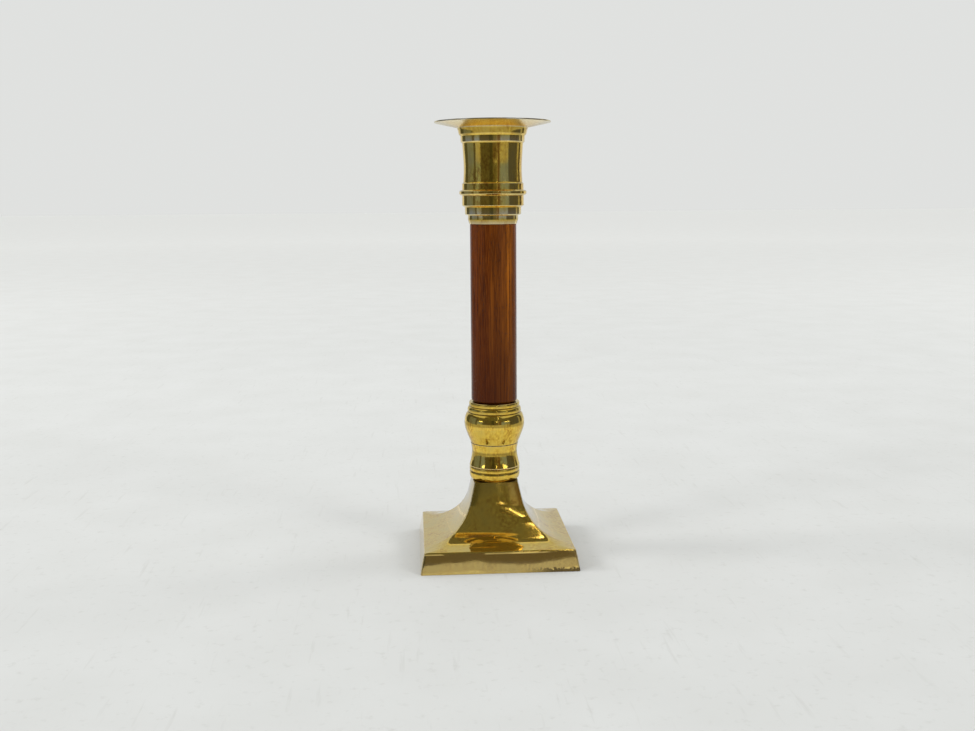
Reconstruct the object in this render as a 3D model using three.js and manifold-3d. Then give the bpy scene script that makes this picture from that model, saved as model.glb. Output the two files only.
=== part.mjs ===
// A turned candlestick: a hollow square brass foot, brass knops, a wooden column, a brass
// candle socket and a loose drip pan, all pulled together by one steel tie rod and its nut.
// Millimetres, +Z up. The origin is the centre of the foot where it stands.
import * as THREE from 'three';
import { mergeVertices } from 'three/addons/utils/BufferGeometryUtils.js';
import Module from 'manifold-3d';

const wasm = await Module();
wasm.setup();

// Heights of the joints between the pieces, from the table up
const FOOT_TOP = 37.0;
const COLLAR_TOP = 43.5;
const KNOP_SEAM = 55.2;
const KNOP_TOP = 75.6;
const COLUMN_TOP = 161.9;
const CAP_TOP = 166.0;
const CAPITAL_TOP = 175.4;
const SOCKET_LIP = 207.1;
const PAN_RIM = 210.0;

// Foot: a square plinth and a hollow-sided pyramid on it, cast about 3 mm thick
const PLINTH_HALF = 37.65;
const PLINTH_TOP_HALF = 35.74;
const PLINTH_HEIGHT = 10.17;
const NECK_HALF = 10.75;
const SWEEP_RADIUS = 22.8;
const SWEEP_CENTRE_HALF = 35.0;
const SWEEP_CENTRE_HEIGHT = 33.4;
const SWEEP_TOP_TILT = 13;
const SWEEP_FOOT_TILT = 10;
const CORNER_RADIUS = 1.0;
const CAST_WALL = 3.0;
const NUT_SEAT = 31.0;

// Column, socket and drip pan
const COLUMN_RADIUS = 11.14;
const SOCKET_BORE = 12.0;
const SOCKET_FLOOR = 183.0;
const SLEEVE_OUTER = 11.7;
const SLEEVE_INNER = 11.1;
const SLEEVE_LENGTH = 12.0;
const PAN_CREASE = 17.0;
const PAN_RADIUS = 27.66;
const PAN_SHEET = 0.6;

// Tie rod and the parts threaded on it
const ROD_RADIUS = 2.95;
const ROD_BOTTOM = 19.0;
const ROD_TOP = 179.6;
const ROD_HOLE = 3.5;
const THREAD_HOLE = 3.25;
const COLUMN_BORE = 4.0;
const WASHER_RADIUS = 8.0;
const WASHER_THICKNESS = 1.6;
const LOCK_WASHER_RADIUS = 5.4;
const LOCK_WASHER_THICKNESS = 1.5;
const NUT_ACROSS_FLATS = 10.0;
const NUT_THICKNESS = 5.0;

// Spigots and the recesses that they sit in
const SPIGOT_RADIUS = 7.0;
const SPIGOT_HEIGHT = 2.6;
const FOOT_SPIGOT_RADIUS = 5.2;
const TENON_RADIUS = 7.5;
const TENON_HEIGHT = 4.0;
const TOP_TENON_RADIUS = 9.8;
const TOP_TENON_HEIGHT = 2.5;
const FIT_GAP = 0.3;

const SIDES = 32;

const brass = () => new THREE.MeshStandardMaterial({ color: 0xc6a04a, roughness: 0.22, metalness: 1 });
const wood = () => new THREE.MeshStandardMaterial({ color: 0x6a3417, roughness: 0.5, metalness: 0 });
const steel = () => new THREE.MeshStandardMaterial({ color: 0x8b8c8e, roughness: 0.42, metalness: 1 });

const at = (radius, height) => new THREE.Vector2(radius, height);

// Half-round bead from one groove to the next, through its crest: two quarters of an ellipse.
function bead(low, crest, high, steps = 3) {
  const points = [];
  for (let i = 0; i <= steps; i += 1) {
    const turn = (i / steps) * Math.PI / 2;
    points.push(at(low.x + (crest.x - low.x) * Math.sin(turn), crest.y - (crest.y - low.y) * Math.cos(turn)));
  }
  for (let i = 1; i <= steps; i += 1) {
    const turn = (i / steps) * Math.PI / 2;
    points.push(at(high.x + (crest.x - high.x) * Math.cos(turn), crest.y + (high.y - crest.y) * Math.sin(turn)));
  }
  return points;
}

// Smooth curve through the given points.
function sweep(through, steps) {
  return new THREE.SplineCurve(through).getPoints(steps);
}

// Solid of revolution about Z. A profile that doesn't end on the axis is closed on itself.
function turned(profile) {
  const closed = profile[0].x > 0 ? [...profile, profile[0].clone()] : profile;
  return new THREE.LatheGeometry(closed, SIDES).rotateX(Math.PI / 2);
}

function named(name, geometry, material) {
  const mesh = new THREE.Mesh(geometry, material);
  mesh.name = name;
  return mesh;
}

// Square outline with rounded corners, as a ring of points at one height.
function squareRing(half, height, corner) {
  const ring = [];
  for (let quarter = 0; quarter < 4; quarter += 1) {
    const middle = Math.PI / 4 + quarter * Math.PI / 2;
    const offset = (half - corner) * Math.SQRT2;
    for (const turn of [-1, -1 / 3, 1 / 3, 1]) {
      const angle = middle + turn * Math.PI / 4;
      ring.push([
        Math.cos(middle) * offset + Math.cos(angle) * corner,
        Math.sin(middle) * offset + Math.sin(angle) * corner,
        height,
      ]);
    }
  }
  return ring;
}

// Closed solid through square sections, given from the bottom up as half width and height.
function squareSolid(sections, corner) {
  const rings = sections.map((section) => squareRing(section.x, section.y, corner));
  const count = rings[0].length;
  const positions = rings.flat(2);
  const indices = [];
  for (let level = 0; level + 1 < rings.length; level += 1) {
    for (let i = 0; i < count; i += 1) {
      const a = level * count + i;
      const b = level * count + (i + 1) % count;
      indices.push(a, b, b + count, a, b + count, a + count);
    }
  }
  const top = (rings.length - 1) * count;
  for (let i = 1; i + 1 < count; i += 1) {
    indices.push(0, i + 1, i);
    indices.push(top, top + i, top + i + 1);
  }
  const geometry = new THREE.BufferGeometry();
  geometry.setAttribute('position', new THREE.Float32BufferAttribute(positions, 3));
  geometry.setIndex(indices);
  return geometry;
}

function toSolid(geometry) {
  const bare = geometry.clone();
  bare.deleteAttribute('normal');
  bare.deleteAttribute('uv');
  const merged = mergeVertices(bare, 1e-4);
  return new wasm.Manifold(new wasm.Mesh({
    numProp: 3,
    vertProperties: new Float32Array(merged.attributes.position.array),
    triVerts: new Uint32Array(merged.index.array),
  }));
}

function toGeometry(solid) {
  const mesh = solid.getMesh();
  const geometry = new THREE.BufferGeometry();
  geometry.setAttribute('position', new THREE.Float32BufferAttribute(mesh.vertProperties, 3));
  geometry.setIndex(Array.from(mesh.triVerts));
  geometry.computeVertexNormals();
  return geometry;
}

// Side outline of the foot as half width and height. inset moves it inwards by a wall thickness.
function footOutline(inset) {
  const lowTurn = THREE.MathUtils.degToRad(-90 - SWEEP_FOOT_TILT);
  const highTurn = THREE.MathUtils.degToRad(-180 + SWEEP_TOP_TILT);
  const radius = SWEEP_RADIUS + inset;
  const sideRun = inset * (PLINTH_HALF - PLINTH_TOP_HALF) / PLINTH_HEIGHT;
  const outline = [at(PLINTH_HALF - inset, 0), at(PLINTH_TOP_HALF - inset + sideRun, PLINTH_HEIGHT - inset)];
  const steps = 9;
  for (let i = 0; i <= steps; i += 1) {
    const turn = lowTurn + (highTurn - lowTurn) * i / steps;
    outline.push(at(SWEEP_CENTRE_HALF + radius * Math.cos(turn), SWEEP_CENTRE_HEIGHT + radius * Math.sin(turn)));
  }
  return outline;
}

function makeFoot() {
  const outside = squareSolid([...footOutline(0), at(NECK_HALF, FOOT_TOP)], CORNER_RADIUS);
  const hollowTop = NECK_HALF - CAST_WALL + (FOOT_TOP - NUT_SEAT) * Math.tan(THREE.MathUtils.degToRad(SWEEP_TOP_TILT));
  const hollowOutline = footOutline(CAST_WALL);
  hollowOutline[0].y = -1;
  const inside = squareSolid([...hollowOutline, at(hollowTop, NUT_SEAT)], CORNER_RADIUS / 2);
  const recessFloor = FOOT_TOP - SPIGOT_HEIGHT - FIT_GAP;
  const bore = turned([
    at(0, NUT_SEAT - 1),
    at(ROD_HOLE, NUT_SEAT - 1),
    at(ROD_HOLE, recessFloor),
    at(FOOT_SPIGOT_RADIUS + FIT_GAP, recessFloor),
    at(FOOT_SPIGOT_RADIUS + FIT_GAP, FOOT_TOP + 1),
    at(0, FOOT_TOP + 1),
  ]);
  const solid = toSolid(outside).subtract(toSolid(inside)).subtract(toSolid(bore));
  return named('foot', toGeometry(solid), brass());
}

// Two beads that cover the joint with the square foot, with a spigot at each end.
function makeFootCollar() {
  const groove = at(12.0, 41.1);
  return named('foot_collar', turned([
    at(ROD_HOLE, FOOT_TOP - SPIGOT_HEIGHT),
    at(FOOT_SPIGOT_RADIUS, FOOT_TOP - SPIGOT_HEIGHT),
    at(FOOT_SPIGOT_RADIUS, FOOT_TOP),
    ...bead(at(11.1, FOOT_TOP), at(12.4, 40.1), groove),
    ...bead(groove, at(12.4, 42.2), at(12.15, COLLAR_TOP)).slice(1),
    at(SPIGOT_RADIUS, COLLAR_TOP),
    at(SPIGOT_RADIUS, COLLAR_TOP + SPIGOT_HEIGHT),
    at(ROD_HOLE, COLLAR_TOP + SPIGOT_HEIGHT),
  ]), brass());
}

// Flare and waist, up to the fine seam in the middle of the waist.
function makeLowerKnop() {
  return named('lower_knop', turned([
    at(SPIGOT_RADIUS + FIT_GAP, COLLAR_TOP),
    at(12.35, COLLAR_TOP),
    ...sweep([at(12.35, COLLAR_TOP + 0.4), at(11.6, 47.2), at(11.1, 51.2), at(11.7, KNOP_SEAM)], 8),
    at(SPIGOT_RADIUS, KNOP_SEAM),
    at(SPIGOT_RADIUS, KNOP_SEAM + SPIGOT_HEIGHT),
    at(ROD_HOLE, KNOP_SEAM + SPIGOT_HEIGHT),
    at(ROD_HOLE, COLLAR_TOP + SPIGOT_HEIGHT + FIT_GAP),
    at(SPIGOT_RADIUS + FIT_GAP, COLLAR_TOP + SPIGOT_HEIGHT + FIT_GAP),
  ]), brass());
}

// Bulb with two beads above it, recessed at the top for the column's tenon.
function makeUpperKnop() {
  const crest = at(14.75, 64.8);
  const bulbGroove = at(12.7, 70.4);
  const beadGroove = at(12.05, 73.3);
  const tenonRecess = KNOP_TOP - TENON_HEIGHT - FIT_GAP;
  const spigotRecess = KNOP_SEAM + SPIGOT_HEIGHT + FIT_GAP;
  const ogee = new THREE.CubicBezierCurve(at(11.7, KNOP_SEAM), at(11.9, 57.6), at(14.6, 61.6), crest);
  return named('upper_knop', turned([
    at(SPIGOT_RADIUS + FIT_GAP, KNOP_SEAM),
    ...ogee.getPoints(7),
    ...bead(crest, crest, bulbGroove, 5).slice(6),
    ...bead(bulbGroove, at(13.15, 71.8), beadGroove).slice(1),
    ...bead(beadGroove, at(12.4, 74.8), at(11.9, KNOP_TOP)).slice(1),
    at(TENON_RADIUS + FIT_GAP, KNOP_TOP),
    at(TENON_RADIUS + FIT_GAP, tenonRecess),
    at(ROD_HOLE, tenonRecess),
    at(ROD_HOLE, spigotRecess),
    at(SPIGOT_RADIUS + FIT_GAP, spigotRecess),
  ]), brass());
}

// Bored wooden column with a tenon at each end and a rounded lower shoulder.
function makeWoodColumn() {
  const rounding = 1.5;
  const shoulder = at(COLUMN_RADIUS - rounding, KNOP_TOP);
  const corner = at(COLUMN_RADIUS, KNOP_TOP + rounding);
  return named('wood_column', turned([
    at(COLUMN_BORE, KNOP_TOP - TENON_HEIGHT),
    at(TENON_RADIUS, KNOP_TOP - TENON_HEIGHT),
    at(TENON_RADIUS, KNOP_TOP),
    ...bead(shoulder, corner, corner).slice(0, 4),
    at(COLUMN_RADIUS, COLUMN_TOP),
    at(TOP_TENON_RADIUS, COLUMN_TOP),
    at(TOP_TENON_RADIUS, COLUMN_TOP + TOP_TENON_HEIGHT),
    at(COLUMN_BORE, COLUMN_TOP + TOP_TENON_HEIGHT),
  ]), wood());
}

// Ferrule over the column's upper end, with a bevelled lower edge.
function makeColumnCap() {
  const recess = COLUMN_TOP + TOP_TENON_HEIGHT + FIT_GAP;
  return named('column_cap', turned([
    at(TOP_TENON_RADIUS + FIT_GAP, COLUMN_TOP),
    at(11.5, COLUMN_TOP),
    at(12.05, 164.0),
    at(12.05, CAP_TOP - 0.2),
    at(11.85, CAP_TOP),
    at(SPIGOT_RADIUS, CAP_TOP),
    at(SPIGOT_RADIUS, CAP_TOP + SPIGOT_HEIGHT),
    at(ROD_HOLE, CAP_TOP + SPIGOT_HEIGHT),
    at(ROD_HOLE, recess),
    at(TOP_TENON_RADIUS + FIT_GAP, recess),
  ]), brass());
}

// Two stepped rings under the candle socket.
function makeCapital() {
  const bossRecess = CAPITAL_TOP - TENON_HEIGHT - FIT_GAP;
  const spigotRecess = CAP_TOP + SPIGOT_HEIGHT + FIT_GAP;
  return named('capital', turned([
    at(SPIGOT_RADIUS + FIT_GAP, CAP_TOP),
    at(12.7, CAP_TOP),
    at(13.5, CAP_TOP + 0.5),
    at(13.5, 169.8),
    at(14.8, 170.6),
    at(14.8, CAPITAL_TOP - 0.3),
    at(14.5, CAPITAL_TOP),
    at(SPIGOT_RADIUS + FIT_GAP, CAPITAL_TOP),
    at(SPIGOT_RADIUS + FIT_GAP, bossRecess),
    at(ROD_HOLE, bossRecess),
    at(ROD_HOLE, spigotRecess),
    at(SPIGOT_RADIUS + FIT_GAP, spigotRecess),
  ]), brass());
}

// Waisted cup with a flat floor for the candle and a tapped boss underneath for the tie rod.
function makeCandleSocket() {
  const bossBottom = CAPITAL_TOP - TENON_HEIGHT;
  const waist = sweep([at(14.15, 181.5), at(13.9, 187), at(14.0, 192), at(14.5, 199.8)], 7);
  const flare = sweep([at(16.1, 204.0), at(16.5, 205.8), at(PAN_CREASE, SOCKET_LIP)], 3);
  return named('candle_socket', turned([
    at(0, ROD_TOP + 0.6),
    at(THREAD_HOLE, ROD_TOP + 0.6),
    at(THREAD_HOLE, bossBottom),
    at(SPIGOT_RADIUS, bossBottom),
    at(SPIGOT_RADIUS, CAPITAL_TOP),
    at(15.2, CAPITAL_TOP),
    at(16.1, CAPITAL_TOP + 0.7),
    at(16.1, 177.2),
    at(15.6, 177.8),
    at(14.7, 177.9),
    at(14.7, 180.9),
    ...waist,
    at(15.15, 200.4),
    at(15.45, 203.2),
    ...flare,
    at(SOCKET_BORE, SOCKET_LIP),
    at(SOCKET_BORE, SOCKET_FLOOR),
    at(0, SOCKET_FLOOR),
  ]), brass());
}

// Thin spun dish that drops into the socket on a short sleeve and lifts straight out.
function makeDripPan() {
  const edge = 0.2;
  return named('drip_pan', turned([
    at(SLEEVE_INNER, SOCKET_LIP - SLEEVE_LENGTH),
    at(SLEEVE_OUTER, SOCKET_LIP - SLEEVE_LENGTH),
    at(SLEEVE_OUTER, SOCKET_LIP),
    at(PAN_CREASE, SOCKET_LIP),
    at(PAN_RADIUS - edge, PAN_RIM - PAN_SHEET),
    at(PAN_RADIUS, PAN_RIM - PAN_SHEET + edge),
    at(PAN_RADIUS, PAN_RIM - edge),
    at(PAN_RADIUS - edge, PAN_RIM),
    at(PAN_CREASE - 0.2, SOCKET_LIP + PAN_SHEET),
    at(SLEEVE_INNER + 0.4, SOCKET_LIP + PAN_SHEET),
    at(SLEEVE_INNER, SOCKET_LIP + PAN_SHEET - 0.4),
  ]), brass());
}

function makeTieRod() {
  const chamfer = 0.5;
  return named('tie_rod', turned([
    at(0, ROD_BOTTOM),
    at(ROD_RADIUS - chamfer, ROD_BOTTOM),
    at(ROD_RADIUS, ROD_BOTTOM + chamfer),
    at(ROD_RADIUS, ROD_TOP - chamfer),
    at(ROD_RADIUS - chamfer, ROD_TOP),
    at(0, ROD_TOP),
  ]), steel());
}

// Flat outline raised to a thickness, with its upper face at the given height.
function plate(shape, thickness, topHeight, curveSegments) {
  const geometry = new THREE.ExtrudeGeometry(shape, { depth: thickness, bevelEnabled: false, curveSegments });
  return geometry.translate(0, 0, topHeight - thickness);
}

function makeFootWasher() {
  const shape = new THREE.Shape().absarc(0, 0, WASHER_RADIUS, 0, Math.PI * 2);
  shape.holes.push(new THREE.Path().absarc(0, 0, THREAD_HOLE, 0, Math.PI * 2));
  return named('foot_washer', plate(shape, WASHER_THICKNESS, NUT_SEAT, 12), steel());
}

// Split ring, cut through at one side.
function makeLockWasher() {
  const split = THREE.MathUtils.degToRad(8);
  const shape = new THREE.Shape();
  shape.absarc(0, 0, LOCK_WASHER_RADIUS, split, Math.PI * 2 - split);
  shape.absarc(0, 0, THREAD_HOLE, Math.PI * 2 - split, split, true);
  const top = NUT_SEAT - WASHER_THICKNESS;
  return named('lock_washer', plate(shape, LOCK_WASHER_THICKNESS, top, 12), steel());
}

function makeFootNut() {
  const shape = new THREE.Shape();
  const cornerRadius = NUT_ACROSS_FLATS / Math.sqrt(3);
  for (let i = 0; i < 6; i += 1) {
    const angle = i * Math.PI / 3;
    const corner = [Math.cos(angle) * cornerRadius, Math.sin(angle) * cornerRadius];
    if (i === 0) shape.moveTo(...corner);
    else shape.lineTo(...corner);
  }
  shape.closePath();
  shape.holes.push(new THREE.Path().absarc(0, 0, THREAD_HOLE, 0, Math.PI * 2));
  const top = NUT_SEAT - WASHER_THICKNESS - LOCK_WASHER_THICKNESS;
  return named('foot_nut', plate(shape, NUT_THICKNESS, top, 12), steel());
}

const candlestick = new THREE.Group();
candlestick.add(
  makeFoot(),
  makeFootCollar(),
  makeLowerKnop(),
  makeUpperKnop(),
  makeWoodColumn(),
  makeColumnCap(),
  makeCapital(),
  makeCandleSocket(),
  makeDripPan(),
  makeTieRod(),
  makeFootWasher(),
  makeLockWasher(),
  makeFootNut(),
);

export default candlestick;
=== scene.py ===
"""A turned brass and wood candlestick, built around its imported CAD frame: fine turned surfaces, a cast
square foot with hollow-curved sides, procedural brass, wood and steel, and a plain studio."""
import math

import bmesh
import bpy
from mathutils import Matrix, Vector


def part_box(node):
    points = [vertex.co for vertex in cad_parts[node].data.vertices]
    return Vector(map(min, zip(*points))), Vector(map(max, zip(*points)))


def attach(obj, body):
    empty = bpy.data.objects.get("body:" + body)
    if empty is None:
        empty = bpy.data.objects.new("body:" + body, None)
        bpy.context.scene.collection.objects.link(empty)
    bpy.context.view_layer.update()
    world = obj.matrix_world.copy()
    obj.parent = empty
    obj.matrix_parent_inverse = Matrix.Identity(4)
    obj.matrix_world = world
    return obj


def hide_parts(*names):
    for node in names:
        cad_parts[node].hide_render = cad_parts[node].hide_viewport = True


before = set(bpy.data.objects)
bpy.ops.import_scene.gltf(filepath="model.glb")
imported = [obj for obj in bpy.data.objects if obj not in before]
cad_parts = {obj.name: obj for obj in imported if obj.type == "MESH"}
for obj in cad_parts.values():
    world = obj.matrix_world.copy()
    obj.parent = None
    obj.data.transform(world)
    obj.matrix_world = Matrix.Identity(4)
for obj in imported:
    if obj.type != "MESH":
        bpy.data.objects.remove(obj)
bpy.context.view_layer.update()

MM = 0.001
SEGMENTS = 192

# Camera: where the picture was taken from, seen from the candlestick, with its angles in degrees
CAMERA_DISTANCE = 542.0 * MM
CAMERA_HEIGHT = 175.1 * MM
CAMERA_SIDE_TURN = -4.07
CAMERA_PITCH = 8.61
CAMERA_YAW = -0.335
CAMERA_ROLL = -0.41
CAMERA_LENS = 41.35
SENSOR_WIDTH = 36.0


# ---- sizes taken from the frame, in millimetres

def low(node):
    """Lowest corner of a CAD node, in millimetres."""
    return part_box(node)[0] / MM


def high(node):
    """Highest corner of a CAD node, in millimetres."""
    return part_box(node)[1] / MM


FOOT_HALF = high("foot").x
FOOT_TOP = high("foot").z
COLLAR_TOP = low("lower_knop").z
KNOP_SEAM = low("upper_knop").z
KNOP_TOP = high("upper_knop").z
COLUMN_TOP = low("column_cap").z
CAP_TOP = low("capital").z
CAPITAL_TOP = high("capital").z
SOCKET_LIP = high("candle_socket").z
PAN_RIM = high("drip_pan").z
SLEEVE_BOTTOM = low("drip_pan").z
ROD_RADIUS = high("tie_rod").x
ROD_HOLE = ROD_RADIUS + 0.55
SPIGOT_RADIUS = 7.0
SPIGOT_HEIGHT = high("column_cap").z - CAP_TOP
FIT_GAP = 0.3


def held(value):
    """Value held between 0 and 1."""
    return min(max(value, 0), 1)


# ---- outlines as lists of (radius, height)

# The most of a side that a rounded corner takes, and the reach of the close points beside it
SIDE_SHARE = 0.45
GUARD_REACH = 0.06
GUARD_SHARE = 0.04


def quarter(start, end, steps, bulge):
    """Quarter of an ellipse from start to end. It leaves start along the radius if bulge is "out",
    and along the height if it is "up"."""
    points = []
    for i in range(steps + 1):
        turn = i / steps * math.pi / 2
        early = math.sin(turn)
        late = 1 - math.cos(turn)
        across, along = (early, late) if bulge == "out" else (late, early)
        points.append((start[0] + (end[0] - start[0]) * across, start[1] + (end[1] - start[1]) * along))
    return points


def bead(groove_below, crest, groove_above, steps=12):
    """Half-round bead from one groove to the next, through its crest."""
    return quarter(groove_below, crest, steps, "out") + quarter(crest, groove_above, steps, "up")[1:]


def sweep(through, steps=14):
    """Smooth curve through the given points, a Catmull-Rom spline."""
    ends = [through[0], *through, through[-1]]
    points = []
    for a, b, c, d in zip(ends, ends[1:], ends[2:], ends[3:]):
        for i in range(steps):
            t = i / steps
            points.append(tuple(
                b[k] + 0.5 * t * (c[k] - a[k] + t * (2 * a[k] - 5 * b[k] + 4 * c[k] - d[k]
                                                     + t * (3 * (b[k] - c[k]) + d[k] - a[k])))
                for k in (0, 1)
            ))
    return points + [through[-1]]


def bezier(a, b, c, d, steps=28):
    """Cubic Bezier curve from a to d."""
    points = []
    for i in range(steps + 1):
        t = i / steps
        u = 1 - t
        points.append(tuple(
            u ** 3 * a[k] + 3 * u * u * t * b[k] + 3 * u * t * t * c[k] + t ** 3 * d[k] for k in (0, 1)
        ))
    return points


def rounded_corner(before, corner, after, fillet, steps):
    """Arc in place of a corner, with a close point on each side of it, so that the smooth shading of the
    flats stays flat."""
    here = Vector(corner)
    back = Vector(before) - here
    ahead = Vector(after) - here
    half_turn = back.angle(ahead) / 2
    reach = min(fillet / math.tan(half_turn), SIDE_SHARE * back.length, SIDE_SHARE * ahead.length)
    start = here + back.normalized() * reach
    end = here + ahead.normalized() * reach
    radius = reach * math.tan(half_turn)
    inwards = (back.normalized() + ahead.normalized()).normalized()
    centre = here + inwards * (radius / math.sin(half_turn))
    first = start - centre
    swing = first.angle_signed(end - centre)
    points = [start + back.normalized() * min(GUARD_REACH, GUARD_SHARE * back.length)]
    for k in range(steps + 1):
        points.append(centre + Matrix.Rotation(-swing * k / steps, 2) @ first)
    points.append(end + ahead.normalized() * min(GUARD_REACH, GUARD_SHARE * ahead.length))
    return [tuple(point) for point in points]


def softened(outline, closed=True, steps=6):
    """Outline with its corners rounded, where a point is (radius, height, fillet)."""
    points = []
    count = len(outline)
    for i, point in enumerate(outline):
        if len(point) == 2 or (not closed and i in (0, count - 1)):
            points.append(point[:2])
            continue
        after = outline[(i + 1) % count]
        points += rounded_corner(outline[i - 1][:2], point[:2], after[:2], point[2], steps)
    return points


# ---- meshes

def new_piece(name, vertices, faces, cad_node, body="stand", smooth=True):
    """Mesh object from vertices in millimetres, riding on a body and standing for a CAD node."""
    mesh = bpy.data.meshes.new(name)
    mesh.from_pydata([tuple(c * MM for c in v) for v in vertices], [], faces)
    mesh.validate()
    for polygon in mesh.polygons:
        polygon.use_smooth = smooth
    piece = bpy.data.objects.new(name, mesh)
    bpy.context.scene.collection.objects.link(piece)
    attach(piece, body)
    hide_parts(cad_node)
    return piece


def polar(radius, angle, height):
    """Point at an angle around the axis."""
    return (radius * math.cos(angle), radius * math.sin(angle), height)


def ring_faces(count, size, closed=True):
    """Faces between neighbouring rings of vertices, and from the last ring back to the first if closed."""
    faces = []
    for i in range(count if closed else count - 1):
        lower = i * size
        upper = (i + 1) % count * size
        for k in range(size):
            following = (k + 1) % size
            faces.append((lower + k, lower + following, upper + following, upper + k))
    return faces


def cap_faces(count, size):
    """Fans over the first and the last ring, around two middle vertices that come after all the rings."""
    faces = []
    top = (count - 1) * size
    for k in range(size):
        following = (k + 1) % size
        faces.append((count * size, following, k))
        faces.append((count * size + 1, top + k, top + following))
    return faces


def turned(name, outline, cad_node, body="stand", segments=SEGMENTS):
    """Solid of revolution. The outline runs up the outside and down the bore, and closes on itself
    unless it starts on the axis."""
    solid = outline[0][0] == 0
    rings = outline[1:-1] if solid else outline
    count = len(rings)
    vertices = []
    for radius, height in rings:
        vertices += [polar(radius, 2 * math.pi * k / segments, height) for k in range(segments)]
    faces = ring_faces(count, segments, closed=not solid)
    if solid:
        vertices += [(0, 0, outline[0][1]), (0, 0, outline[-1][1])]
        faces += cap_faces(count, segments)
    piece = new_piece(name, vertices, faces, cad_node, body)
    mark(piece, "recess", [recess_depth(rings, i, solid) for i in range(count)], segments)
    mark(piece, "edge", [edge_sharpness(rings, i, solid) for i in range(count)], segments)
    return piece


def mark(piece, name, values, segments):
    """Number per ring of vertices that the materials read."""
    layer = piece.data.attributes.new(name, "FLOAT", "POINT")
    for i, entry in enumerate(layer.data):
        entry.value = values[min(i // segments, len(values) - 1)]


# Grooves and edges, as the materials see them: millimetres along an outline, and degrees of turn
SEAM_REACH = 0.2
GROOVE_REACH = 1.6
GROOVE_DEPTH = 0.4
EDGE_REACH = 0.3
EDGE_FROM = 22
EDGE_RANGE = 40


def walk(rings, i, step, reach, open_ended):
    """Rings met along the outline from ring i, one way, within reach in millimetres."""
    met = []
    travelled = 0
    count = len(rings)
    for k in range(1, count):
        following = i + k * step
        if open_ended and not 0 <= following < count:
            break
        here = Vector(rings[following % count])
        travelled += (here - Vector(rings[(following - step) % count])).length
        met.append(here)
        if travelled >= reach:
            break
    return met


def recess_depth(rings, i, open_ended):
    """How far a ring of an outline sits in a groove or a seam, 0 to 1: the outline stands higher on both
    sides, or two pieces meet there."""
    radius, height = rings[i]
    if min(abs(height - seam) for seam in (FOOT_TOP, KNOP_SEAM)) < SEAM_REACH:
        return 1
    rises = []
    for step in (-1, 1):
        met = walk(rings, i, step, GROOVE_REACH, open_ended)
        rises.append(max((ring.x - radius for ring in met), default=0))
    return held(min(rises) / GROOVE_DEPTH)


def edge_sharpness(rings, i, open_ended):
    """How much the outline turns outwards around a ring, 0 to 1 at a crisp outer edge."""
    back = walk(rings, i, -1, EDGE_REACH, open_ended)
    ahead = walk(rings, i, 1, EDGE_REACH, open_ended)
    if not back or not ahead:
        return 0
    here = Vector(rings[i])
    turn = math.degrees((here - back[-1]).angle_signed(ahead[-1] - here))
    return held((-turn - EDGE_FROM) / EDGE_RANGE)


# ---- the turned pieces

def spigot(height):
    """Spigot that stands on a seat at this height, with the rod's hole through it."""
    top = height + SPIGOT_HEIGHT
    return [(SPIGOT_RADIUS, height), (SPIGOT_RADIUS, top, 0.3), (ROD_HOLE, top, 0.2)]


def hole_end(height):
    """Upper end of a hole that takes the spigot of the piece below."""
    return [(ROD_HOLE, height), (SPIGOT_RADIUS + FIT_GAP, height)]


def make_foot_collar():
    """Two beads between the foot and the lower knop."""
    radius = high("foot_collar").x
    bottom = low("foot_collar").z
    foot_spigot = 5.2
    base = (radius - 1.2, FOOT_TOP + 0.1)
    lower_crest = (radius, FOOT_TOP + 3.1)
    groove = (radius - 0.42, FOOT_TOP + 4.1)
    upper_crest = (radius, COLLAR_TOP - 1.3)
    neck = (radius - 0.25, COLLAR_TOP - 0.12)
    outline = softened([
        (ROD_HOLE, bottom, 0.2),
        (foot_spigot, bottom, 0.3),
        (foot_spigot, FOOT_TOP),
        (radius - 1.3, FOOT_TOP, 0.15),
        *bead(base, lower_crest, groove)[1:],
        *bead(groove, upper_crest, neck)[1:],
        (radius - 0.45, COLLAR_TOP),
        *spigot(COLLAR_TOP),
    ])
    return turned("brass_foot_collar", outline, "foot_collar")


def make_lower_knop():
    """Flare and waist under the knop's seam."""
    radius = high("lower_knop").x
    flare = (radius - 0.75, 47.2)
    waist = (radius - 1.25, 51.2)
    below_seam = (radius - 0.65, KNOP_SEAM - 0.12)
    outline = softened([
        (SPIGOT_RADIUS + FIT_GAP, COLLAR_TOP),
        (radius - 0.25, COLLAR_TOP),
        (radius, COLLAR_TOP + 0.2),
        *sweep([(radius, COLLAR_TOP + 0.45), flare, waist, below_seam]),
        (radius - 0.85, KNOP_SEAM),
        *spigot(KNOP_SEAM),
        *hole_end(COLLAR_TOP + SPIGOT_HEIGHT + FIT_GAP),
    ])
    return turned("brass_lower_knop", outline, "lower_knop")


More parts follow.
